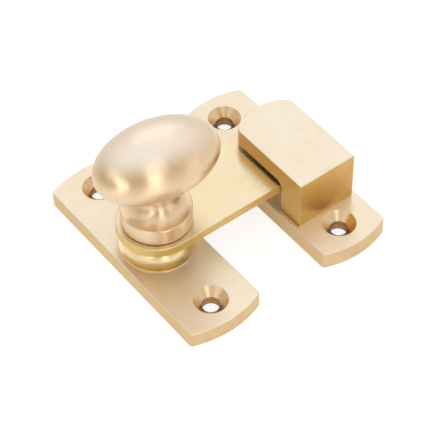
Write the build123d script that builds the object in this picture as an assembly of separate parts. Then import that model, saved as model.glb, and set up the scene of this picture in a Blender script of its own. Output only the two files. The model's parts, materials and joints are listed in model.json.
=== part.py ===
from build123d import *
import math
import os

# Cabinet latch: an oval knob turns a flat bar into the mouth of a keeper hook.
# Millimetres. +Z stands out of the door, and both plates lie with their backs on Z = 0.
# The origin is the middle of the back plate's two screw holes, on its back face.
# +X runs from the back plate to the keeper, and +Y is the side where the bar swings out.

# Plates
plate_length = 55.0
plate_end_bulge = 2.0
plate_corner_round = 0.9
edge_round = 0.25
back_plate_width = 20.0
back_plate_thickness = 4.1
keeper_plate_width = 18.8
keeper_plate_thickness = 4.5

# Wood screw holes, countersunk for 4 mm screws
screw_spacing = 44.0
screw_hole_diameter = 4.2
screw_sink_diameter = 8.3

# Pivot and latch bar
pivot_x = 0.7
pivot_y = -0.8
bar_lift = 6.0
bar_width = 19.4
bar_thickness = 2.5
bar_reach = 42.5
bar_corner_round = 0.5

# Pivot boss, pressed into the back plate, with a neck that flares out to a foot
boss_neck_diameter = 11.0
boss_foot_diameter = 18.2
boss_foot_edge = 0.3
boss_spigot_diameter = 14.0
boss_top_chamfer = 0.3
press_clearance = 0.02
bar_running_gap = 0.05

# Spindle
journal_diameter = 8.0
journal_clearance = 0.05
square_size = 5.5
square_clearance = 0.05
stud_diameter = 5.0
stud_length = 9.0
thread_clearance = 0.03
clamp_allowance = 0.3
thread_lead_chamfer = 0.4

# Friction stack in the back of the boss: disc spring, washer and screw
stack_diameter = 12.0
stack_clearance = 0.2
spring_thickness = 0.4
spring_height = 0.8
washer_thickness = 0.8
seat_gap = 0.02
retaining_thread_diameter = 4.0
retaining_head_diameter = 7.0
retaining_head_height = 2.1
retaining_screw_length = 6.0
spindle_tap_depth = 7.0
driver_slot_width = 1.0
driver_slot_depth = 1.0

# Knob
knob_length = 31.0
knob_side_inset = 0.25
knob_turn = -9.3
head_off_axis = 0.65
neck_diameter = 8.6
neck_straight = 1.15
neck_blend_round = 1.2
collar_side_inset = 1.25
collar_height = 4.8
collar_edge_round = 0.35
collar_foot_relief = 0.25
collar_foot_inset = 0.6
collar_top_land = 0.15

# Keeper
keeper_distance = 37.8
bar_stop_gap = 0.5
hook_width = 16.3
hook_leg = 6.8
hook_leg_from_middle = 10.3
hook_overhang = 17.0
hook_tip_bulge = 3.0
hook_tip_round = 3.0
hook_lift = 9.2
hook_thickness = 4.45
hook_inner_round = 2.0
hook_foot_chamfer = 0.2
hook_screw_inset = 3.5
hook_screw_diameter = 4.0
hook_screw_head_diameter = 7.6
hook_screw_length = 10.0
hook_screw_recess = 0.15
hook_tap_depth = 7.0
hook_screw_clearance = 0.2

# How far a cut runs on past the face it starts from
cut_past = 1.0

# The knob keeps within the bar's width and its collar a little further in.
# The flare runs from the neck out to a narrow land on top of the collar.
knob_width = bar_width - 2 * knob_side_inset
collar_diameter = bar_width - 2 * collar_side_inset
flare_radius = (collar_diameter - neck_diameter) / 2 - collar_top_land

# Levels above the back face
bar_bottom = back_plate_thickness + bar_lift
bar_top = bar_bottom + bar_thickness
knob_centre = bar_top + collar_height + flare_radius + neck_straight + knob_width / 2
hook_bottom = keeper_plate_thickness + hook_lift
hook_top = hook_bottom + hook_thickness

# The friction stack is counted down from the ceiling of the boss's counterbore.
stack_ceiling = back_plate_thickness
washer_top = stack_ceiling - spring_height
spindle_bottom = washer_top
washer_bottom = washer_top - washer_thickness
retaining_head_bottom = washer_bottom - retaining_head_height

# The keeper lies so that its leg stops the bar square to the plates.
hook_inner_y = pivot_y - (bar_width / 2 + bar_stop_gap)
hook_outer_y = hook_inner_y - hook_leg
hook_tip_y = hook_inner_y + hook_overhang
keeper_middle_y = hook_inner_y + hook_leg_from_middle
hook_screw_y = (hook_inner_y + hook_outer_y) / 2
hook_screw_from_middle = hook_width / 2 - hook_screw_inset
hook_screw_places = [
    (keeper_distance + side * hook_screw_from_middle, hook_screw_y) for side in (-1, 1)
]

pivot = Pos(pivot_x, pivot_y, 0)


def turned(*edges):
    """A solid of revolution about Z from edges that close a profile in the XZ plane."""
    return revolve(Plane.XZ * make_face(Curve() + list(edges)), Axis.Z)


def turned_outline(*points):
    """A solid of revolution about Z whose profile has straight sides through (radius, height) points."""
    return turned(Polyline(*points, close=True))


def rod(diameter, bottom, top):
    """A plain round rod on Z."""
    return Pos(0, 0, bottom) * Cylinder(
        diameter / 2, top - bottom, align=(Align.CENTER, Align.CENTER, Align.MIN)
    )


def countersink(hole_diameter, sink_diameter, thickness):
    """The cutter for a 90 degree countersunk hole down from the top of a plate on Z = 0."""
    hole, sink = hole_diameter / 2, sink_diameter / 2
    return turned_outline(
        (0, -cut_past),
        (hole, -cut_past),
        (hole, thickness - (sink - hole)),
        (sink, thickness),
        (sink, thickness + cut_past),
        (0, thickness + cut_past),
    )


def arched_plan(width, straight_length, bulge, corner_round, both_ends=True):
    """A rectangle on X by Y whose +Y end, or both ends, is a shallow arc that bulges past its corners."""
    x, y = width / 2, straight_length / 2
    arch = ThreePointArc((-x, -y), (0, -y - bulge), (x, -y))
    near = arch if both_ends else Line((-x, -y), (x, -y))
    plan = make_face(
        Curve()
        + [
            near,
            Line((x, -y), (x, y)),
            ThreePointArc((x, y), (0, y + bulge), (-x, y)),
            Line((-x, y), (-x, -y)),
        ]
    )
    rounded = plan.vertices() if both_ends else plan.vertices().group_by(Axis.Y)[-1]
    return fillet(rounded, corner_round)


def screw_plate(width, thickness):
    """A plate with arched ends, eased front edges and two countersunk holes."""
    plan = arched_plan(width, plate_length, plate_end_bulge, plate_corner_round)
    plate = extrude(plan, thickness)
    plate = fillet(plate.faces().sort_by(Axis.Z)[-1].outer_wire().edges(), edge_round)
    cutter = countersink(screw_hole_diameter, screw_sink_diameter, thickness)
    for side in (-1, 1):
        plate -= Pos(0, side * screw_spacing / 2, 0) * cutter
    return plate


def back_plate():
    """The plate under the knob, bored through for the boss's spigot."""
    plate = screw_plate(back_plate_width, back_plate_thickness)
    bore_diameter = boss_spigot_diameter + 2 * press_clearance
    return plate - pivot * rod(bore_diameter, -cut_past, back_plate_thickness + cut_past)


def pivot_boss():
    """The turned boss that carries the bar: a flared foot, a bearing bore above, a counterbore below."""
    neck, foot, spigot = boss_neck_diameter / 2, boss_foot_diameter / 2, boss_spigot_diameter / 2
    bore, stack = journal_diameter / 2 + journal_clearance, stack_diameter / 2
    top, floor = bar_bottom - bar_running_gap, back_plate_thickness
    flare = foot - neck
    flare_foot = floor + boss_foot_edge
    middle = flare * (1 - math.sqrt(0.5))
    return pivot * turned(
        Polyline((bore, stack_ceiling), (stack, stack_ceiling), (stack, 0), (spigot, 0), (spigot, floor)),
        Polyline((spigot, floor), (foot, floor), (foot, flare_foot)),
        ThreePointArc((foot, flare_foot), (neck + middle, flare_foot + middle), (neck, flare_foot + flare)),
        Polyline(
            (neck, flare_foot + flare),
            (neck, top - boss_top_chamfer),
            (neck - boss_top_chamfer, top),
            (bore, top),
            (bore, stack_ceiling),
        ),
    )


def spindle():
    """The turned spindle: journal in the boss, square in the bar, threaded stud in the knob."""
    square_top = bar_top - clamp_allowance
    journal = rod(journal_diameter, spindle_bottom, bar_bottom)
    square = extrude(Rectangle(square_size, square_size), square_top - bar_bottom)
    square = Pos(0, 0, bar_bottom) * square
    stud = rod(stud_diameter, square_top, bar_top + stud_length)
    stud = chamfer(stud.edges().sort_by(Axis.Z)[-1], thread_lead_chamfer)
    tap = rod(
        retaining_thread_diameter + 2 * thread_clearance,
        spindle_bottom - cut_past,
        spindle_bottom + spindle_tap_depth,
    )
    return pivot * (journal + square + stud - tap)


def latch_bar():
    """The flat bar: round about the pivot, square at the keeper, with a square hole for the spindle."""
    half = bar_width / 2
    plan = make_face(
        Curve()
        + [
            Line((0, -half), (bar_reach, -half)),
            Line((bar_reach, -half), (bar_reach, half)),
            Line((bar_reach, half), (0, half)),
            ThreePointArc((0, half), (-half, 0), (0, -half)),
        ]
    )
    plan = fillet(plan.vertices().group_by(Axis.X)[-1], bar_corner_round)
    bar = Pos(0, 0, bar_bottom) * extrude(plan, bar_thickness)
    faces = bar.faces().sort_by(Axis.Z)
    bar = fillet(faces[0].outer_wire().edges() + faces[-1].outer_wire().edges(), edge_round)
    side = square_size + 2 * square_clearance
    hole = extrude(Rectangle(side, side), bar_thickness + 2 * cut_past)
    return pivot * (bar - Pos(0, 0, bar_bottom - cut_past) * hole)


def knob():
    """The knob, one casting: an oval head on a neck that flares like a trumpet into a round collar.

    The head stands a little off the collar's axis, towards the hook, as it came out of the mould.
    """
    neck, rim = neck_diameter / 2, collar_diameter / 2
    foot = rim - collar_foot_inset
    rim_bottom, rim_top = bar_top + collar_foot_relief, bar_top + collar_height
    flare_top = rim_top + flare_radius
    flare_foot = neck + flare_radius
    middle = flare_radius * (1 - math.sqrt(0.5))
    stem = turned(
        Line((0, bar_top), (foot, bar_top)),
        Line((foot, bar_top), (foot, rim_bottom)),
        Line((foot, rim_bottom), (rim, rim_bottom)),
        Line((rim, rim_bottom), (rim, rim_top)),
        Line((rim, rim_top), (flare_foot, rim_top)),
        ThreePointArc((flare_foot, rim_top), (neck + middle, rim_top + middle), (neck, flare_top)),
        Line((neck, flare_top), (neck, knob_centre)),
        Line((neck, knob_centre), (0, knob_centre)),
        Line((0, knob_centre), (0, bar_top)),
    )
    rim_edges = stem.edges().filter_by(GeomType.CIRCLE).group_by(SortBy.RADIUS)[-1]
    stem = fillet(rim_edges, collar_edge_round)
    tap_top = bar_top + stud_length + clamp_allowance
    stem -= rod(stud_diameter + 2 * thread_clearance, bar_top - cut_past, tap_top)
    half_length, half_width = knob_length / 2, knob_width / 2
    quarter_oval = make_face(
        Curve()
        + [
            EllipticalCenterArc((0, 0), half_length, half_width, start_angle=0, arc_size=90),
            Line((0, half_width), (0, 0)),
            Line((0, 0), (half_length, 0)),
        ]
    )
    half_head = revolve(quarter_oval, Axis.X)
    head = half_head + Rot(0, 0, 180) * half_head
    body = stem + Pos(head_off_axis, 0, knob_centre) * head
    neck_joint = body.edges().filter_by(GeomType.BSPLINE).sort_by(Axis.Z)[-1]
    body = fillet(neck_joint, neck_blend_round)
    return pivot * Rot(0, 0, knob_turn) * body


def disc_spring():
    """The coned spring that holds the bar where it is turned."""
    inner = journal_diameter / 2 + stack_clearance
    outer = stack_diameter / 2 - stack_clearance
    high, low = stack_ceiling - seat_gap, washer_top + seat_gap
    return pivot * turned_outline(
        (inner, high - spring_thickness),
        (outer, low),
        (outer, low + spring_thickness),
        (inner, high),
    )


def thrust_washer():
    """The flat washer clamped against the end of the spindle."""
    outer = stack_diameter - 2 * stack_clearance
    disc = rod(outer, washer_bottom, washer_top)
    hole = rod(
        retaining_thread_diameter + 2 * stack_clearance, washer_bottom - cut_past, washer_top + cut_past
    )
    return pivot * (disc - hole)


def slotted(screw, diameter, face):
    """The screw with a driver slot cut across its downward face."""
    cut = Box(diameter + cut_past, driver_slot_width, driver_slot_depth)
    return screw - Pos(0, 0, face + driver_slot_depth / 2) * cut


def retaining_screw():
    """The cheese-head screw that draws the spindle into the boss from behind."""
    head = rod(retaining_head_diameter, retaining_head_bottom, washer_bottom)
    head = chamfer(head.edges().sort_by(Axis.Z)[0], edge_round)
    shank = rod(retaining_thread_diameter, washer_bottom, washer_bottom + retaining_screw_length)
    shank = chamfer(shank.edges().sort_by(Axis.Z)[-1], thread_lead_chamfer)
    return pivot * slotted(head + shank, retaining_head_diameter, retaining_head_bottom)


def keeper_plate():
    """The plate under the hook, with two more holes countersunk from behind for the hook's screws."""
    plate = screw_plate(keeper_plate_width, keeper_plate_thickness)
    plate = Pos(keeper_distance, keeper_middle_y, 0) * plate
    hole = hook_screw_diameter + 2 * hook_screw_clearance
    sink = hook_screw_head_diameter + 2 * hook_screw_clearance
    cutter = Pos(0, 0, keeper_plate_thickness) * Rot(180, 0, 0) * countersink(
        hole, sink, keeper_plate_thickness
    )
    for x, y in hook_screw_places:
        plate -= Pos(x, y, 0) * cutter
    return plate


def keeper_hook():
    """The hook block: a leg that stops the bar, and an overhang that holds it."""
    foot, tip_y = keeper_plate_thickness, hook_tip_y + hook_tip_bulge
    section = Plane.YZ * make_face(
        Polyline(
            (hook_outer_y, foot),
            (hook_inner_y, foot),
            (hook_inner_y, hook_bottom),
            (tip_y, hook_bottom),
            (tip_y, hook_top),
            (hook_outer_y, hook_top),
            close=True,
        )
    )
    block = extrude(section, hook_width / 2, both=True)
    inner_corner = block.edges().filter_by(Axis.X).sort_by(
        lambda e: abs(e.center().Y - hook_inner_y) + abs(e.center().Z - hook_bottom)
    )[0]
    block = fillet(inner_corner, hook_inner_round)
    length = hook_tip_y - hook_outer_y
    plan = arched_plan(hook_width, length, hook_tip_bulge, hook_tip_round, both_ends=False)
    block &= Pos(0, hook_outer_y + length / 2, 0) * extrude(plan, hook_top + cut_past)
    block = fillet(block.faces().sort_by(Axis.Z)[-1].outer_wire().edges(), edge_round)
    block = chamfer(block.faces().sort_by(Axis.Z)[0].outer_wire().edges(), hook_foot_chamfer)
    block = Pos(keeper_distance, 0, 0) * block
    for x, y in hook_screw_places:
        tap = rod(hook_screw_diameter + 2 * thread_clearance, foot - cut_past, foot + hook_tap_depth)
        block -= Pos(x, y, 0) * tap
    return block


def hook_screws():
    """Two slotted countersunk screws that hold the hook block from behind its plate."""
    head, shank = hook_screw_head_diameter / 2, hook_screw_diameter / 2
    tip = hook_screw_recess + hook_screw_length
    screw = turned_outline(
        (0, hook_screw_recess),
        (head, hook_screw_recess),
        (shank, hook_screw_recess + head - shank),
        (shank, tip - thread_lead_chamfer),
        (shank - thread_lead_chamfer, tip),
        (0, tip),
    )
    screw = slotted(screw, hook_screw_head_diameter, hook_screw_recess)
    return Compound([Pos(x, y, 0) * screw for x, y in hook_screw_places])


pieces = {
    "back_plate": back_plate,
    "pivot_boss": pivot_boss,
    "spindle": spindle,
    "latch_bar": latch_bar,
    "knob": knob,
    "disc_spring": disc_spring,
    "thrust_washer": thrust_washer,
    "retaining_screw": retaining_screw,
    "keeper_plate": keeper_plate,
    "keeper_hook": keeper_hook,
    "hook_screws": hook_screws,
}

os.makedirs("parts", exist_ok=True)
for name, make in pieces.items():
    export_step(make(), f"parts/{name}.step")
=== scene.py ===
import json
import math

import bpy
from bpy.props import FloatProperty, FloatVectorProperty, PointerProperty
from bpy.types import Operator, Panel, PropertyGroup
from mathutils import Matrix, Vector


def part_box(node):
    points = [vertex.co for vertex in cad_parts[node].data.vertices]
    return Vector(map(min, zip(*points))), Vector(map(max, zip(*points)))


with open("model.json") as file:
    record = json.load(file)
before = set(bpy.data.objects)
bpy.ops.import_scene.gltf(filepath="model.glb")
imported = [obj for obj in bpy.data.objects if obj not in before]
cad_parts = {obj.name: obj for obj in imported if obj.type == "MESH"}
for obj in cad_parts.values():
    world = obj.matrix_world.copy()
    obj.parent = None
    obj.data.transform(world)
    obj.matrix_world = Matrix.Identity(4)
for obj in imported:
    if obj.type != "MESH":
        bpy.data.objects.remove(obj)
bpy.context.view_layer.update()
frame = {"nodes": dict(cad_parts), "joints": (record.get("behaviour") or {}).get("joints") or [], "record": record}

bl_info = {
    "name": "Cabinet Latch",
    "version": (1, 0, 0),
    "blender": (4, 5, 0),
    "location": "3D View > Sidebar > Latch",
    "description": "Finishes, light and camera for a satin brass cabinet latch",
    "category": "Object",
}

NODES = frame["nodes"]
MOUNTS = {mount["name"]: mount for mount in frame["record"]["mounts"]}
PIVOT = Vector(frame["joints"][0]["pos_m"])
MM = 0.001

# Countersinks and bores of the plates: radius of the mouth, how softly its rings end, and the
# radii between which the bore gives way to the cone
SINK_REACH = 4.15 * MM
SINK_FADE = 0.05 * MM
BORE_RIM = (2.15 * MM, 2.3 * MM)

# The knob's head: its middle, its radius across, and how far below the middle the neck gives way
# to it
HEAD_CENTRE = (PIVOT.x, PIVOT.y, 32.0 * MM)
HEAD_RADIUS = 9.0 * MM
HEAD_FROM = (9.2 * MM, 7.2 * MM)

# Painted shade at the hook's foot, a dark line in the gap where the hook stands on the plate: heights over the
# plate between which it fades, and the sideways share of the normal between which it ends
GAP_SHADE_FADE = (0.25 * MM, 0.60 * MM)
GAP_SHADE_FACING = (-0.9, -0.6)

# Pitches of the tool rings
BRASS_RINGS = 0.22 * MM
STEEL_RINGS = 0.15 * MM

# How upright a normal is where a brushed face begins and where it is in full
FACE_FROM, FACE_FULL = 0.35, 0.9

# Range of a noise that is taken as its whole swing
NOISE_LOW, NOISE_HIGH = 0.25, 0.75

# What each thing adds to the roughness of the brass
LINES_ROUGHEN = 0.03
MARKS_ROUGHEN = 0.04
RUBBING_POLISHES = 0.05
MILLING_ROUGHENS = 0.14
SINKING_POLISHES = 0.15

# Tints that deepen the brass, and the swing of tone from line to line
# The next two tints are painted shade: the countersinks painted deeper and the bores much darker, where shade
# falls in these recesses.
SINK_SHADE_TINT = (0.90, 0.80, 0.68)
BORE_SHADE_TINT = (0.50, 0.42, 0.40)
# The next tint is painted shade in the gap where the hook stands on the keeper plate.
GAP_SHADE_TINT = (0.30, 0.20, 0.10)
DEEP_TINT = (0.985, 0.965, 0.93)
DULL_TINT = (0.95, 0.925, 0.89)
LINE_SWING = {"Red": (0.984, 1.010), "Green": (0.978, 1.012), "Blue": (0.966, 1.018)}
# The next two colours paint edges bright: partly wear where hands rub, partly painted highlight along the edges.
EDGE_WEAR_AND_SHEEN_BRASS = (0.95, 0.86, 0.66, 1.0)
EDGE_WEAR_AND_SHEEN_STEEL = (0.75, 0.75, 0.75, 1.0)

# The stage: half the floor's width, how far it lies under the plates, the latch's middle on it, its
# gloss, and the height that the softboxes face
FLOOR_REACH = 1.5
FLOOR_DROP = 0.02 * MM
LATCH_MIDDLE = (0.0186, 0.0, 0.0)
FLOOR_ROUGHNESS = 0.12
LIT_HEIGHT = 0.03

# Name, degrees round from +Y over +X, degrees above the floor, distance, width, height and radiance
SOFTBOXES = (
    ("Back softbox", 38.0, 49.0, 0.60, 0.45, 0.45, 0.22),
    ("Right softbox", 189.0, 22.0, 0.25, 0.105, 0.26, 0.36),
    ("Right strip", 196.0, 22.0, 0.25, 0.080, 0.13, 0.28),
    ("Right foot strip", 192.0, 2.0, 0.25, 0.065, 0.095, 1.00),
    ("Left foot strip", 234.0, 1.0, 0.25, 0.085, 0.062, 1.45),
    ("Left strip", 245.0, 15.0, 0.25, 0.090, 0.062, 0.95),
    ("Left softbox", 266.0, 23.0, 0.25, 0.14, 0.13, 0.30),
    ("Side softbox", 150.0, 1.0, 0.25, 0.080, 0.062, 0.34),
)


# ---------------------------------------------------------------- settings


def colour(name, description, default):
    """A colour setting, written as scene-linear red, green and blue."""
    return FloatVectorProperty(
        name=name, description=description, default=default, size=3, min=0.0, max=2.0,
        subtype="COLOR",
    )


def share(name, description, default):
    """A setting between 0 and 1."""
    return FloatProperty(
        name=name, description=description, default=default, min=0.0, max=1.0, subtype="FACTOR"
    )


def angle(name, description, degrees):
    """An angle setting, given here in degrees."""
    return FloatProperty(
        name=name, description=description, default=math.radians(degrees), subtype="ANGLE"
    )


def length(name, description, default, least):
    """A length setting, with its smallest value."""
    return FloatProperty(
        name=name, description=description, default=default, min=least, unit="LENGTH"
    )


class LatchBrass(PropertyGroup):
    """Colours and brushing of the brass pieces."""

    # Each face colour is paler than its side colour: partly the brushed against the milled finish, partly painted
    # highlight on the tops and painted shade on the sides.
    plate_face: colour("Plate face", "Brushed tops of the two plates", (0.85, 0.745, 0.59))
    plate_side: colour("Plate side", "Milled sides of the two plates", (0.78, 0.59, 0.345))
    bar_face: colour("Bar face", "Brushed faces of the latch bar", (0.80, 0.68, 0.47))
    bar_side: colour("Bar side", "Milled edge of the latch bar", (0.77, 0.56, 0.21))
    hook_face: colour("Hook face", "Brushed top of the keeper hook", (0.80, 0.71, 0.585))
    hook_side: colour("Hook side", "Milled sides of the keeper hook", (0.75, 0.49, 0.17))
    knob_face: colour(
        "Knob", "Hand-finished knob, a little rosier than the plates", (0.84, 0.735, 0.63)
    )
    # The collar colour also falls on the head's steep flanks, partly as painted shade.
    knob_side: colour("Collar", "Turned neck and collar of the knob", (0.79, 0.61, 0.42))
    turned_face: colour(
        "Turned brass", "Boss and spindle, straight off the lathe", (0.87, 0.74, 0.46)
    )
    grain_turn: angle("Grain turn", "Direction of the brushing on the flat faces, from +X", -14.0)
    grain_pitch: length(
        "Grain pitch", "Distance between the coarser brush lines", 0.35 * MM, 0.01 * MM
    )
    grain_depth: length("Grain depth", "Height of the brush lines", 0.004 * MM, 0.0)
    head_turn: angle("Head turn", "Direction of the knob's long axis, from +X", -9.3)
    satin: share("Satin", "Roughness of the brushed faces", 0.29)
    # The edges are painted bright within this reach, partly as wear and partly as painted highlight.
    edge_reach: length(
        "Edge reach", "How far from an edge the brass is rubbed bright", 0.35 * MM, 0.01 * MM
    )


class LatchSteel(PropertyGroup):
    """Colour and finish of the spring, washer and screws."""

    steel: colour("Steel", "Spring, washer and screws", (0.56, 0.57, 0.58))
    satin: share("Satin", "Roughness of the steel", 0.32)


class LatchStage(PropertyGroup):
    """Floor, light and camera."""

    floor: colour("Floor", "Pale floor", (0.30, 0.30, 0.30))
    floor_lift: share("Floor lift", "Plain light of the floor itself, seen by the camera", 0.80)
    floor_mirrored: share(
        "Floor mirrored", "Plain light of the floor itself, seen in the brass", 0.26
    )
    floor_far: share("Floor far off", "The same, further from the latch", 0.10)
    floor_gloss: share(
        "Floor gloss", "How strongly the floor mirrors the lamps into the brass", 0.55
    )
    tent_top: colour("Tent top", "White tent overhead", (1.09, 1.09, 1.09))
    room_front: colour("Room in front", "Dim room low behind the camera", (0.62, 0.53, 0.38))
    room_back: colour("Room behind", "Room low behind the latch", (0.95, 0.90, 0.83))
    box_level: FloatProperty(
        name="Softboxes", description="Level of all softboxes", default=1.0, min=0.0
    )
    aim: FloatVectorProperty(
        name="Aim", description="Point the camera looks at", default=(0.01863, -0.0007, 0.0),
        size=3, subtype="XYZ", unit="LENGTH",
    )
    distance: length("Distance", "Camera to aim", 0.43909, 0.05)
    azimuth: angle("Azimuth", "Camera's turn round the latch", -37.49)
    elevation: angle("Elevation", "Camera's angle above the floor", 48.82)
    roll: angle("Roll", "Camera's roll", -0.55)
    lens: FloatProperty(
        name="Lens", description="Focal length on a 36 mm sensor", default=150.83, min=10.0
    )


# ------------------------------------------------------------ node helpers


def plug(tree, value, socket):
    """Links a socket to another, or writes a plain value on it."""
    if isinstance(value, bpy.types.NodeSocket):
        tree.links.new(value, socket)
    else:
        socket.default_value = value


def node(tree, kind, settings=None, **inputs):
    """A node. Its inputs are given by name, spaces as underscores, as a value or a socket."""
    made = tree.nodes.new(kind)
    for name, value in (settings or {}).items():
        setattr(made, name, value)
    for name, value in inputs.items():
        plug(tree, value, made.inputs[name.replace("_", " ")])
    return made


def sums(tree, operation, *values):
    """A Math node."""
    made = tree.nodes.new("ShaderNodeMath")
    made.operation = operation
    for socket, value in zip(made.inputs, values):
        plug(tree, value, socket)
    return made.outputs[0]


def vector_sums(tree, operation, first, second=None, scale=None):
    """A Vector Math node."""
    made = tree.nodes.new("ShaderNodeVectorMath")
    made.operation = operation
    plug(tree, first, made.inputs[0])
    if second is not None:
        plug(tree, second, made.inputs[1])
    if scale is not None:
        plug(tree, scale, made.inputs["Scale"])
    gives_value = operation in {"LENGTH", "DISTANCE", "DOT_PRODUCT"}
    return made.outputs["Value" if gives_value else "Vector"]


def mix(tree, data_type, sockets, factor, first, second):
    """A Mix node. sockets are the places of its two inputs and its output for that type."""
    made = tree.nodes.new("ShaderNodeMix")
    made.data_type = data_type
    for place, value in zip((0, *sockets[:2]), (factor, first, second)):
        plug(tree, value, made.inputs[place])
    return made, made.outputs[sockets[2]]


def mixed(tree, factor, first, second):
    """A value between two values."""
    return mix(tree, "FLOAT", (2, 3, 0), factor, first, second)[1]


def mixed_vectors(tree, factor, first, second):
    """A vector between two vectors."""
    return mix(tree, "VECTOR", (4, 5, 1), factor, first, second)[1]


def mixed_colours(tree, factor, first, second, kind="MIX"):
    """A colour between two colours, or another blend of them."""
    made, output = mix(tree, "RGBA", (6, 7, 2), factor, first, second)
    made.blend_type = kind
    return output


def tinted(tree, tone, tint):
    """A colour multiplied by a tint."""
    return mixed_colours(tree, 1.0, tone, (*tint, 1.0), "MULTIPLY")


def spread(tree, value, low, high, to_low=0.0, to_high=1.0):
    """A smooth Map Range node."""
    made = tree.nodes.new("ShaderNodeMapRange")
    made.interpolation_type = "SMOOTHSTEP"
    plug(tree, value, made.inputs["Value"])
    ends = (("From Min", low), ("From Max", high), ("To Min", to_low), ("To Max", to_high))
    for name, given in ends:
        plug(tree, given, made.inputs[name])
    return made.outputs["Result"]


def split(tree, vector):
    """The parts of a vector."""
    return node(tree, "ShaderNodeSeparateXYZ", Vector=vector).outputs


def joined(tree, x, y, z):
    """A vector from its parts."""
    return node(tree, "ShaderNodeCombineXYZ", X=x, Y=y, Z=z).outputs["Vector"]


def turned(tree, vector, turn):
    """A vector turned round the upright axis."""
    made = node(
        tree, "ShaderNodeVectorRotate", {"rotation_type": "Z_AXIS"}, Vector=vector, Angle=turn
    )
    return made.outputs["Vector"]


def noise(tree, vector, dimensions="3D", Scale=1.0, Detail=2.0, **inputs):
    """The value of a Noise Texture node."""
    made = node(
        tree, "ShaderNodeTexNoise", {"noise_dimensions": dimensions}, Vector=vector, Scale=Scale,
        Detail=Detail, **inputs,
    )
    return made.outputs["Fac"]


def either(tree, first, second):
    """The larger of two masks. The first may be missing."""
    return second if first is None else sums(tree, "MAXIMUM", first, second)


def group(name, inputs, outputs):
    """An empty shader node group with named sockets. inputs are (name, kind, default)."""
    tree = bpy.data.node_groups.new(name, "ShaderNodeTree")
    for label, kind, default in inputs:
        socket = tree.interface.new_socket(
            label, in_out="INPUT", socket_type="NodeSocket" + kind
        )
        if default is not None:
            socket.default_value = default
    for label, kind in outputs:
        tree.interface.new_socket(label, in_out="OUTPUT", socket_type="NodeSocket" + kind)
    given = tree.nodes.new("NodeGroupInput").outputs
    return tree, given, tree.nodes.new("NodeGroupOutput").inputs


def placed(tree, effect, **inputs):
    """The outputs of a shader node group placed in a material, with its own values."""
    return node(tree, "ShaderNodeGroup", {"node_tree": effect}, **inputs).outputs


# ------------------------------------------------------------ shared effects


def brushed_grain():
    """Long brush lines in one direction, coarse and fine, straight down on the sides."""
    tree, given, out = group(
        "Brushed grain",
        [
            ("Vector", "Vector", None), ("Turn", "Float", 0.0), ("Pitch", "Float", 0.35 * MM),
            ("Break up", "Float", 0.05),
        ],
        [("Lines", "Float"), ("Fine lines", "Float")],
    )
    along = turned(tree, given["Vector"], sums(tree, "MULTIPLY", given["Turn"], -1.0))
    per_line = sums(tree, "DIVIDE", 1.0, given["Pitch"])
    stretch = joined(tree, given["Break up"], 1.0, given["Break up"])
    laid = vector_sums(
        tree, "MULTIPLY", vector_sums(tree, "SCALE", along, scale=per_line), stretch
    )
    plug(tree, noise(tree, laid, Detail=3.0, Roughness=0.6), out["Lines"])
    plug(tree, noise(tree, laid, Scale=3.3, Roughness=0.7), out["Fine lines"])
    return tree


def turned_rings():
    """Fine tool rings round an upright axis."""
    tree, given, out = group(
        "Turned rings",
        [
            ("Vector", "Vector", None), ("Axis", "Vector", (0.0, 0.0, 0.0)),
            ("Pitch", "Float", 0.2 * MM),
        ],
        [("Lines", "Float"), ("Radius", "Float")],
    )
    parts = split(tree, vector_sums(tree, "SUBTRACT", given["Vector"], given["Axis"]))
    radius = vector_sums(tree, "LENGTH", joined(tree, parts["X"], parts["Y"], 0.0))
    ring = joined(
        tree, sums(tree, "DIVIDE", radius, given["Pitch"]),
        sums(tree, "DIVIDE", parts["Z"], given["Pitch"]), 0.0,
    )
    plug(tree, noise(tree, ring, "2D"), out["Lines"])
    plug(tree, radius, out["Radius"])
    return tree


def long_streaks():
    """Fine polishing streaks that run along a level axis, laid round it."""
    tree, given, out = group(
        "Long streaks",
        [
            ("Vector", "Vector", None), ("Centre", "Vector", (0.0, 0.0, 0.0)),
            ("Turn", "Float", 0.0), ("Pitch", "Float", 0.5 * MM),
        ],
        [("Lines", "Float")],
    )
    from_centre = vector_sums(tree, "SUBTRACT", given["Vector"], given["Centre"])
    parts = split(tree, turned(tree, from_centre, sums(tree, "MULTIPLY", given["Turn"], -1.0)))
    around = sums(tree, "ARCTAN2", parts["Z"], parts["Y"])
    per_line = sums(tree, "DIVIDE", 1.0, given["Pitch"])
    lengthwise = sums(tree, "MULTIPLY", sums(tree, "MULTIPLY", parts["X"], per_line), 0.04)
    sideways = sums(tree, "MULTIPLY", sums(tree, "MULTIPLY", around, per_line), HEAD_RADIUS)
    plug(tree, noise(tree, joined(tree, lengthwise, sideways, 0.0), "2D"), out["Lines"])
    return tree


def edge_wear_and_sheen():
    """Mask of the edges painted bright: partly wear where hands and cloths rub, partly painted highlight along the
    edges.
    """
    tree, given, out = group(
        "Rubbed edges", [("Vector", "Vector", None), ("Reach", "Float", 0.3 * MM)],
        [("Mask", "Float")],
    )
    rounded = node(tree, "ShaderNodeBevel", {"samples": 6}, Radius=given["Reach"])
    surface = node(tree, "ShaderNodeNewGeometry")
    level = vector_sums(
        tree, "DOT_PRODUCT", rounded.outputs["Normal"], surface.outputs["Normal"]
    )
    bend = sums(tree, "SUBTRACT", 1.0, level)
    patches = noise(tree, given["Vector"], Scale=900.0, Detail=3.0, Roughness=0.6)
    wear_and_sheen = sums(
        tree, "MULTIPLY", spread(tree, bend, 0.01, 0.22), spread(tree, patches, 0.3, 0.62, 0.35)
    )
    plug(tree, wear_and_sheen, out["Mask"])
    return tree


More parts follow.
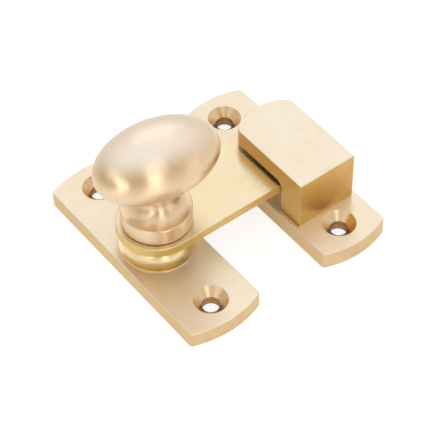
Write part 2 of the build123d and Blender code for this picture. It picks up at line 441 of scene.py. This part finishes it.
def handling():
    """Slow changes of tone over a piece, and small duller marks where fingers go."""
    tree, given, out = group(
        "Handling", [("Vector", "Vector", None), ("Size", "Float", 12.0 * MM)],
        [("Tone", "Float"), ("Marks", "Float")],
    )
    per_patch = sums(tree, "DIVIDE", 1.0, given["Size"])
    slow = noise(tree, given["Vector"], Scale=per_patch, Roughness=0.5)
    marks = noise(
        tree, given["Vector"], Scale=sums(tree, "MULTIPLY", per_patch, 4.5), Detail=5.0,
        Roughness=0.65, Distortion=0.6,
    )
    plug(tree, spread(tree, slow, 0.32, 0.68), out["Tone"])
    plug(tree, spread(tree, marks, 0.52, 0.72), out["Marks"])
    return tree


def brass_tone():
    """Paler on the upright faces and deeper on the sides, partly the brushed and milled finishes and partly
    painted highlight and painted shade, varied by handling, lines and edges painted bright as wear and highlight.
    """
    tree, given, out = group(
        "Brass tone",
        [
            ("Face", "Color", (0.8, 0.6, 0.4, 1.0)), ("Side", "Color", (0.8, 0.6, 0.4, 1.0)),
            ("Upright", "Float", 1.0), ("Tone", "Float", 0.5), ("Marks", "Float", 0.0),
            ("Lines", "Float", 0.5), ("Rubbed", "Float", 0.0),
        ],
        [("Color", "Color")],
    )
    # Upright faces painted paler and sides deeper: painted highlight and painted shade from the light overhead, on
    # top of the two finishes.
    base = mixed_colours(tree, given["Upright"], given["Side"], given["Face"])
    toned = mixed_colours(tree, given["Tone"], tinted(tree, base, DEEP_TINT), base)
    marked = mixed_colours(
        tree, sums(tree, "MULTIPLY", given["Marks"], 0.35), toned, tinted(tree, toned, DULL_TINT)
    )
    swings = {
        name: spread(tree, given["Lines"], NOISE_LOW, NOISE_HIGH, *ends)
        for name, ends in LINE_SWING.items()
    }
    swing = node(tree, "ShaderNodeCombineColor", **swings).outputs["Color"]
    lined = mixed_colours(tree, 1.0, marked, swing, "MULTIPLY")
    # Edges painted pale: partly wear, partly painted highlight.
    bright = mixed_colours(
        tree, sums(tree, "MULTIPLY", given["Rubbed"], 0.6), lined, EDGE_WEAR_AND_SHEEN_BRASS
    )
    plug(tree, bright, out["Color"])
    return tree


EFFECTS = {}


def effect(maker):
    """The shared node group that a maker builds, built once."""
    if maker.__name__ not in EFFECTS:
        EFFECTS[maker.__name__] = maker()
    return EFFECTS[maker.__name__]


# ---------------------------------------------------------------- finishes


def empty_material(name):
    """A material with an empty node tree."""
    material = bpy.data.materials.new(name)
    material.use_nodes = True
    material.node_tree.nodes.clear()
    return material, material.node_tree


def across_rings(tree, here, axis):
    """Direction on the surface that crosses tool rings round an upright axis."""
    out_from = vector_sums(tree, "SUBTRACT", here["Object"], axis)
    round_axis = vector_sums(tree, "CROSS_PRODUCT", (0.0, 0.0, 1.0), out_from)
    across = vector_sums(tree, "CROSS_PRODUCT", here["Normal"], round_axis)
    return vector_sums(tree, "NORMALIZE", across)


def across_streaks(tree, here, turn):
    """Direction on the surface that crosses streaks along a level axis."""
    along = (math.cos(turn), math.sin(turn), 0.0)
    return vector_sums(
        tree, "NORMALIZE", vector_sums(tree, "CROSS_PRODUCT", here["Normal"], along)
    )


def gap_shade_line(tree, here, tone, foot):
    """Painted shade: a dark line at the foot of the sides that face -X, where the gap under the hook lies in
    shade, foot being the level of the plate.
    """
    level = split(tree, here["Object"])["Z"]
    low = spread(tree, level, foot + GAP_SHADE_FADE[0], foot + GAP_SHADE_FADE[1], 1.0, 0.0)
    facing = spread(tree, split(tree, here["Normal"])["X"], *GAP_SHADE_FACING, 1.0, 0.0)
    line = sums(tree, "MULTIPLY", low, facing)
    return mixed_colours(tree, line, tone, tinted(tree, tone, GAP_SHADE_TINT))


def brass(name, face, side, settings, rings_at=(), turned_all=False, satin=None,
          patch=12.0 * MM, relief=0.06, drawn_out=0.85, marked=1.0, head_centre=None, foot=None):
    """Satin brass: brushed faces, milled sides, tool rings where a cutter turned, edges painted bright partly as
    wear and partly as highlight; the upright faces are painted paler and the sides deeper, as painted highlight
    and painted shade.

    rings_at are the axes of the tool rings, in countersinks or, with turned_all, all over.
    patch is the size of the changes of tone, relief the strength of the bump, drawn_out the stretch of the
    highlights and marked the contrast of the lines. head_centre is the middle of a head polished lengthwise, and
    foot the level of a dark line of painted shade at a joint.
    """
    material, tree = empty_material(name)
    here = node(tree, "ShaderNodeTexCoord").outputs
    vector = here["Object"]
    grain = placed(
        tree, effect(brushed_grain), Vector=vector, Turn=settings.grain_turn,
        Pitch=settings.grain_pitch,
    )
    worn = placed(tree, effect(handling), Vector=vector, Size=patch)
    wear_and_sheen = placed(tree, effect(edge_wear_and_sheen), Vector=vector, Reach=settings.edge_reach)["Mask"]
    up = sums(tree, "ABSOLUTE", split(tree, here["Normal"])["Z"])
    upright = spread(tree, up, FACE_FROM, FACE_FULL)
    lines, fine = grain["Lines"], grain["Fine lines"]
    across = turned(tree, (0.0, 1.0, 0.0), settings.grain_turn)

    sunk = bored = None
    for place in rings_at:
        ring = placed(tree, effect(turned_rings), Vector=vector, Axis=place, Pitch=BRASS_RINGS)
        inside, contrast = 1.0, 1.0
        if not turned_all:
            contrast = 0.3
            inside = spread(tree, ring["Radius"], SINK_REACH, SINK_REACH + SINK_FADE, 1.0, 0.0)
            sunk = either(tree, sunk, inside)
            bored = either(tree, bored, spread(tree, ring["Radius"], *BORE_RIM, 1.0, 0.0))
        across = mixed_vectors(tree, inside, across, across_rings(tree, here, place))
        rings = mixed(tree, contrast, 0.5, ring["Lines"])
        lines = mixed(tree, inside, lines, rings)
        fine = mixed(tree, inside, fine, rings)

    if head_centre is not None:
        low, high = (head_centre[2] - below for below in HEAD_FROM)
        on_head = spread(tree, split(tree, vector)["Z"], low, high)
        streaks = placed(
            tree, effect(long_streaks), Vector=vector, Centre=head_centre,
            Turn=settings.head_turn,
        )["Lines"]
        lines = mixed(tree, on_head, lines, streaks)
        fine = mixed(tree, on_head, fine, streaks)
        across = mixed_vectors(
            tree, on_head, across, across_streaks(tree, here, settings.head_turn)
        )
        # On the knob only the head keeps its upright parts pale; its steep flanks, the neck and the collar take
        # the side colour, partly as painted shade.
        upright = sums(tree, "MULTIPLY", upright, on_head)

    lines = sums(tree, "MULTIPLY_ADD", lines, marked, 0.5 - 0.5 * marked)
    fine = sums(tree, "MULTIPLY_ADD", fine, marked, 0.5 - 0.5 * marked)
    # The upright parts take the paler face colour and the rest the deeper side colour: partly the brushed and
    # milled finishes, partly painted highlight on the tops and painted shade on the sides.
    tone = placed(
        tree, effect(brass_tone), Face=(*face, 1.0), Side=(*side, 1.0), Upright=upright,
        Tone=worn["Tone"], Marks=worn["Marks"], Lines=lines, Rubbed=wear_and_sheen,
    )["Color"]
    # Countersinks painted deeper and bores much darker: painted shade in these recesses.
    if sunk is not None:
        tone = mixed_colours(tree, sunk, tone, tinted(tree, tone, SINK_SHADE_TINT))
        tone = mixed_colours(tree, bored, tone, tinted(tree, tone, BORE_SHADE_TINT))
    # A dark line painted at the hook's foot: painted shade in the gap where it stands on the plate.
    if foot is not None:
        tone = gap_shade_line(tree, here, tone, foot)

    level = settings.satin if satin is None else satin
    swing = spread(tree, fine, NOISE_LOW, NOISE_HIGH, 0.0, 2 * LINES_ROUGHEN)
    roughness = sums(tree, "ADD", level - LINES_ROUGHEN, swing)
    dulled = sums(tree, "MULTIPLY", worn["Marks"], MARKS_ROUGHEN)
    roughness = sums(tree, "ADD", roughness, dulled)
    polished = sums(tree, "MULTIPLY", wear_and_sheen, RUBBING_POLISHES)
    roughness = sums(tree, "SUBTRACT", roughness, polished)
    if not turned_all:
        milled = spread(tree, upright, 0.0, 1.0, MILLING_ROUGHENS, 0.0)
        if sunk is not None:
            milled = mixed(tree, sunk, milled, -SINKING_POLISHES)
        roughness = sums(tree, "ADD", roughness, milled)

    height = sums(
        tree, "ADD", sums(tree, "MULTIPLY", lines, 0.7), sums(tree, "MULTIPLY", fine, 0.3)
    )
    bump = node(
        tree, "ShaderNodeBump", Strength=relief, Distance=settings.grain_depth, Height=height
    )
    tangent = node(
        tree, "ShaderNodeVectorTransform",
        {"vector_type": "VECTOR", "convert_from": "OBJECT", "convert_to": "WORLD"},
        Vector=across,
    )
    shader = node(
        tree, "ShaderNodeBsdfPrincipled", Base_Color=tone, Metallic=1.0, Roughness=roughness,
        Normal=bump.outputs["Normal"], Anisotropic=drawn_out, Tangent=tangent.outputs["Vector"],
    )
    node(tree, "ShaderNodeOutputMaterial", Surface=shader.outputs["BSDF"])
    return material


def steel(name, settings):
    """Plain steel with tool rings and a few darker patches."""
    material, tree = empty_material(name)
    vector = node(tree, "ShaderNodeTexCoord").outputs["Object"]
    rings = placed(
        tree, effect(turned_rings), Vector=vector, Axis=tuple(PIVOT), Pitch=STEEL_RINGS
    )["Lines"]
    worn = placed(tree, effect(handling), Vector=vector, Size=4.0 * MM)
    wear_and_sheen = placed(tree, effect(edge_wear_and_sheen), Vector=vector, Reach=0.2 * MM)["Mask"]
    darker = tuple(0.72 * part for part in settings.steel)
    tone = mixed_colours(tree, worn["Tone"], (*darker, 1.0), (*settings.steel, 1.0))
    # Steel edges painted pale, partly wear and partly painted highlight.
    tone = mixed_colours(tree, sums(tree, "MULTIPLY", wear_and_sheen, 0.6), tone, EDGE_WEAR_AND_SHEEN_STEEL)
    roughness = sums(tree, "ADD", settings.satin, spread(tree, rings, 0.3, 0.7, -0.06, 0.08))
    bump = node(tree, "ShaderNodeBump", Strength=0.25, Distance=0.003 * MM, Height=rings)
    shader = node(
        tree, "ShaderNodeBsdfPrincipled", Base_Color=tone, Metallic=1.0, Roughness=roughness,
        Normal=bump.outputs["Normal"],
    )
    node(tree, "ShaderNodeOutputMaterial", Surface=shader.outputs["BSDF"])
    return material


def dress(piece, material):
    """Puts a finish on a CAD node."""
    for slot in piece.material_slots:
        slot.material = material


def screw_places(mount):
    """The two hole centres of a plate, from its mount in the record."""
    middle = Vector(MOUNTS[mount]["pos_m"])
    half = MOUNTS[mount]["dims"]["spacing_y_mm"] * MM / 2
    return [tuple(middle + Vector((0.0, side * half, 0.0))) for side in (-1, 1)]


# ------------------------------------------------------------------- stage


def add_object(name, data):
    """An object in the scene."""
    made = bpy.data.objects.new(name, data)
    bpy.context.scene.collection.objects.link(made)
    return made


def camera_axes(settings):
    """The camera's right, up and back, as unit vectors."""
    around, above = settings.azimuth, settings.elevation
    back = Vector(
        (math.sin(around) * math.cos(above), -math.cos(around) * math.cos(above), math.sin(above))
    )
    level_right = (-back).cross(Vector((0.0, 0.0, 1.0))).normalized()
    level_up = level_right.cross(-back)
    right = level_right * math.cos(settings.roll) + level_up * math.sin(settings.roll)
    up = level_up * math.cos(settings.roll) - level_right * math.sin(settings.roll)
    return right, up, back


def set_camera(settings):
    """The camera: a long lens, from the lower left and above."""
    right, up, back = camera_axes(settings)
    data = bpy.data.cameras.new("Camera")
    data.sensor_width = 36.0
    data.lens = settings.lens
    data.clip_start = 0.01
    data.clip_end = 20.0
    camera = add_object("Camera", data)
    turn = Matrix((right, up, back)).transposed().to_4x4()
    place = Vector(settings.aim) + back * settings.distance
    camera.matrix_world = Matrix.Translation(place) @ turn
    bpy.context.scene.camera = camera


def towards(around, above):
    """Unit vector from the latch: around from +Y over +X, above the floor, in degrees."""
    around, above = math.radians(around), math.radians(above)
    return Vector(
        (math.sin(around) * math.cos(above), math.cos(around) * math.cos(above), math.sin(above))
    )


def softbox(name, around, above, away, width, height, radiance):
    """A softbox that faces the latch. The camera doesn't see it."""
    data = bpy.data.lights.new(name, "AREA")
    data.shape = "RECTANGLE"
    data.size = width
    data.size_y = height
    data.energy = radiance * math.pi * width * height
    box = add_object(name, data)
    direction = towards(around, above)
    box.location = Vector((PIVOT.x, PIVOT.y, LIT_HEIGHT)) + direction * away
    box.rotation_mode = "QUATERNION"
    box.rotation_quaternion = direction.to_track_quat("Z", "Y")
    box.visible_camera = False


def pale_floor(settings):
    """Plain pale paper. Its own light turns it white for the camera, and less so in the brass."""
    material, tree = empty_material("Pale floor")
    here = node(tree, "ShaderNodeTexCoord").outputs["Object"]
    away = vector_sums(tree, "DISTANCE", here, LATCH_MIDDLE)
    path = node(tree, "ShaderNodeLightPath").outputs
    seen = sums(tree, "MULTIPLY", path["Is Camera Ray"], settings.floor_lift)
    # The floor's own light, for the camera and in the brass, is strongest round the latch and fades further off: a
    # painted pool of light round it.
    shown = sums(tree, "MULTIPLY", seen, spread(tree, away, 0.10, 0.35, 1.0, 0.4))
    in_brass = sums(tree, "MAXIMUM", path["Is Glossy Ray"], path["Is Transmission Ray"])
    level = spread(tree, away, 0.05, 0.20, settings.floor_mirrored, settings.floor_far)
    reflected = sums(tree, "MULTIPLY", in_brass, level)
    paper = node(tree, "ShaderNodeBsdfDiffuse", Color=(*settings.floor, 1.0))
    lift = node(
        tree, "ShaderNodeEmission", Color=(1.0, 1.0, 1.0, 1.0),
        Strength=sums(tree, "MAXIMUM", shown, reflected),
    )
    gloss = node(
        tree, "ShaderNodeBsdfAnisotropic", Roughness=FLOOR_ROUGHNESS,
        Color=sums(tree, "MULTIPLY", in_brass, settings.floor_gloss),
    )
    added = paper.outputs[0]
    for more in (lift, gloss):
        both = tree.nodes.new("ShaderNodeAddShader")
        plug(tree, added, both.inputs[0])
        plug(tree, more.outputs[0], both.inputs[1])
        added = both.outputs[0]
    node(tree, "ShaderNodeOutputMaterial", Surface=added)
    return material


def set_floor(settings):
    """A wide pale floor at the level of the plates' backs."""
    mesh = bpy.data.meshes.new("Floor")
    corners = [
        (x * FLOOR_REACH, y * FLOOR_REACH, -FLOOR_DROP)
        for x, y in ((-1, -1), (1, -1), (1, 1), (-1, 1))
    ]
    mesh.from_pydata(corners, [], [(0, 1, 2, 3)])
    floor = add_object("Floor", mesh)
    mesh.materials.append(pale_floor(settings))


def set_tent(settings):
    """The white tent: bright overhead, a dim warm room low down, darkest round the camera."""
    world = bpy.data.worlds.new("Tent")
    world.use_nodes = True
    tree = world.node_tree
    tree.nodes.clear()
    direction = node(tree, "ShaderNodeTexCoord").outputs["Generated"]
    height = split(tree, direction)["Z"]
    to_back = vector_sums(tree, "DOT_PRODUCT", direction, tuple(towards(60.0, 0.0)))
    low = mixed_colours(
        tree, spread(tree, to_back, -0.7, 0.5), (*settings.room_front, 1.0),
        (*settings.room_back, 1.0),
    )
    level = mixed_colours(
        tree, spread(tree, height, 0.15, 0.98), low, (*settings.tent_top, 1.0)
    )
    sky = node(tree, "ShaderNodeBackground", Color=level, Strength=1.0)
    node(tree, "ShaderNodeOutputWorld", Surface=sky.outputs[0])
    bpy.context.scene.world = world


# --------------------------------------------------------------- operators


class LATCH_OT_plates(Operator):
    """Brush the back plate and the keeper plate, with tool rings in their countersinks."""

    bl_idname = "latch.plates"
    bl_label = "Finish the plates"

    def execute(self, context):
        settings = context.scene.latch_brass
        for name, mount in (("back_plate", "back_plate_screws"), ("keeper_plate", "keeper_screws")):
            finish = brass(
                "Brushed " + name.replace("_", " "), settings.plate_face, settings.plate_side,
                settings, rings_at=screw_places(mount), satin=0.36, marked=2.2,
            )
            dress(NODES[name], finish)
        return {"FINISHED"}


class LATCH_OT_bar_and_hook(Operator):
    """Brush the latch bar and the keeper hook."""

    bl_idname = "latch.bar_and_hook"
    bl_label = "Finish the bar and the hook"

    def execute(self, context):
        settings = context.scene.latch_brass
        bar = brass("Brushed bar", settings.bar_face, settings.bar_side, settings)
        # The hook's foot gets a line of painted shade where it stands on the keeper plate.
        hook = brass(
            "Brushed hook", settings.hook_face, settings.hook_side, settings,
            foot=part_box("keeper_plate")[1][2],
        )
        dress(NODES["latch_bar"], bar)
        dress(NODES["keeper_hook"], hook)
        return {"FINISHED"}


class LATCH_OT_knob(Operator):
    """Finish the knob, its head polished lengthwise and its neck and collar turned."""

    bl_idname = "latch.knob"
    bl_label = "Finish the knob"

    def execute(self, context):
        settings = context.scene.latch_brass
        finish = brass(
            "Hand-finished knob", settings.knob_face, settings.knob_side, settings,
            rings_at=[tuple(PIVOT)], turned_all=True, patch=9.0 * MM, satin=0.26, relief=0.02,
            marked=0.3, head_centre=HEAD_CENTRE,
        )
        dress(NODES["knob"], finish)
        return {"FINISHED"}


class LATCH_OT_turned_brass(Operator):
    """Finish the boss and the spindle, with tool rings all over."""

    bl_idname = "latch.turned_brass"
    bl_label = "Finish the turned brass"

    def execute(self, context):
        settings = context.scene.latch_brass
        finish = brass(
            "Turned brass", settings.turned_face, settings.turned_face, settings,
            rings_at=[tuple(PIVOT)], turned_all=True, satin=0.20, relief=0.03, drawn_out=0.75,
            marked=0.6,
        )
        for name in ("pivot_boss", "spindle"):
            dress(NODES[name], finish)
        return {"FINISHED"}


class LATCH_OT_steel_parts(Operator):
    """Finish the spring, the washer and the screws."""

    bl_idname = "latch.steel_parts"
    bl_label = "Finish the steel parts"

    def execute(self, context):
        finish = steel("Bright steel", context.scene.latch_steel)
        for name in ("disc_spring", "thrust_washer", "retaining_screw", "hook_screws"):
            dress(NODES[name], finish)
        return {"FINISHED"}


class LATCH_OT_stage(Operator):
    """Lay the floor, put up the light and set the camera."""

    bl_idname = "latch.stage"
    bl_label = "Set the stage"

    def execute(self, context):
        settings = context.scene.latch_stage
        set_floor(settings)
        set_tent(settings)
        for *place_and_size, radiance in SOFTBOXES:
            softbox(*place_and_size, radiance * settings.box_level)
        set_camera(settings)
        context.scene.view_settings.view_transform = "Standard"
        return {"FINISHED"}


OPERATORS = (
    LATCH_OT_plates,
    LATCH_OT_bar_and_hook,
    LATCH_OT_knob,
    LATCH_OT_turned_brass,
    LATCH_OT_steel_parts,
    LATCH_OT_stage,
)


class LATCH_PT_panel(Panel):
    """Lists the steps and their settings in the sidebar."""

    bl_idname = "LATCH_PT_panel"
    bl_label = "Cabinet Latch"
    bl_space_type = "VIEW_3D"
    bl_region_type = "UI"
    bl_category = "Latch"

    def draw(self, context):
        for step in OPERATORS:
            self.layout.operator(step.bl_idname)
        scene = context.scene
        for settings in (scene.latch_brass, scene.latch_steel, scene.latch_stage):
            box = self.layout.box()
            for name in settings.__annotations__:
                box.prop(settings, name)


CLASSES = (LatchBrass, LatchSteel, LatchStage, *OPERATORS, LATCH_PT_panel)


def register():
    for made in CLASSES:
        bpy.utils.register_class(made)
    bpy.types.Scene.latch_brass = PointerProperty(type=LatchBrass)
    bpy.types.Scene.latch_steel = PointerProperty(type=LatchSteel)
    bpy.types.Scene.latch_stage = PointerProperty(type=LatchStage)


def unregister():
    del bpy.types.Scene.latch_stage
    del bpy.types.Scene.latch_steel
    del bpy.types.Scene.latch_brass
    for made in reversed(CLASSES):
        bpy.utils.unregister_class(made)


def main():
    register()
    bpy.ops.latch.plates()
    bpy.ops.latch.bar_and_hook()
    bpy.ops.latch.knob()
    bpy.ops.latch.turned_brass()
    bpy.ops.latch.steel_parts()
    bpy.ops.latch.stage()


if __name__ == "__main__":
    main()
